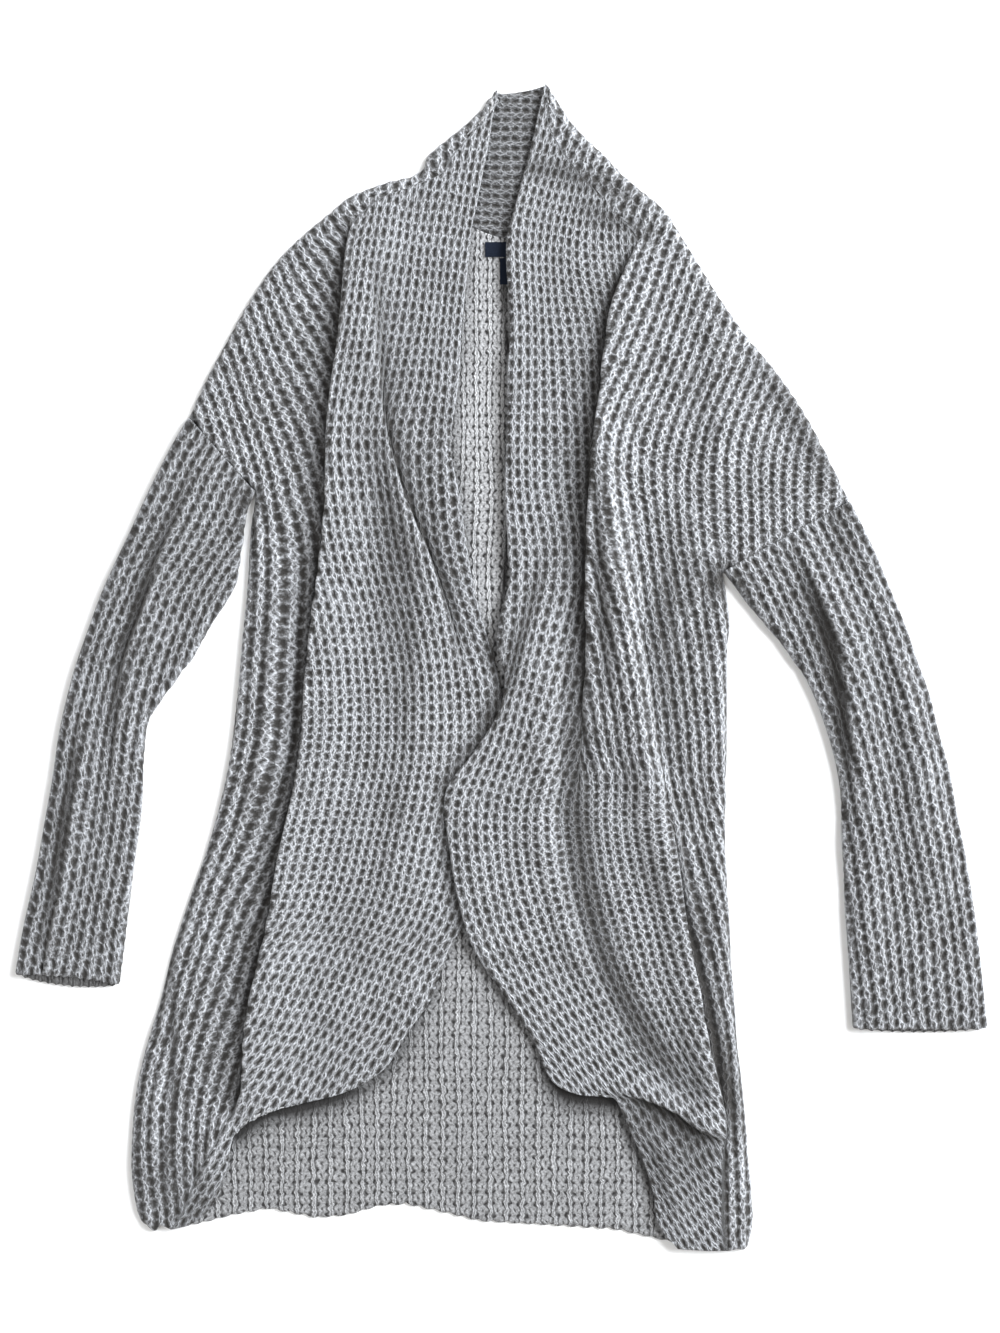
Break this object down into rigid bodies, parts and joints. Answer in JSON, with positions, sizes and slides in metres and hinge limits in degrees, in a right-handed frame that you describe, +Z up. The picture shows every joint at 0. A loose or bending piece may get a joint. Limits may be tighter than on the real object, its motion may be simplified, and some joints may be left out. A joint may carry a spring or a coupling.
{
  "type": "buttonless cardigan",
  "caption": "Open-fronted chunky waffle-knit cardigan with a shawl collar and dropped shoulders, laid flat face up",
  "frame": {"origin": "on the surface that the garment lies on, at the middle of its footprint", "axes": "+X runs across the garment to the viewer's right, which is the wearer's left; +Y points from the hem to the collar; +Z points up from the surface, out of the garment's front"},
  "size_m": [0.778, 0.927, 0.0181],
  "materials": {
    "waffle_knit": "matte marled yarn, outside of the waffle knit",
    "waffle_knit_inside": "matte marled yarn, flatter inside of the waffle knit",
    "label_tape": "smooth woven tape"
  },
  "bodies": {
    "root": {"back": "waffle_knit_inside", "collar": "waffle_knit_inside", "front_left": "waffle_knit", "front_right": "waffle_knit", "sleeve_left": "waffle_knit", "sleeve_right": "waffle_knit", "neck_label": "label_tape", "size_tab": "label_tape"}
  },
  "joints": []
}
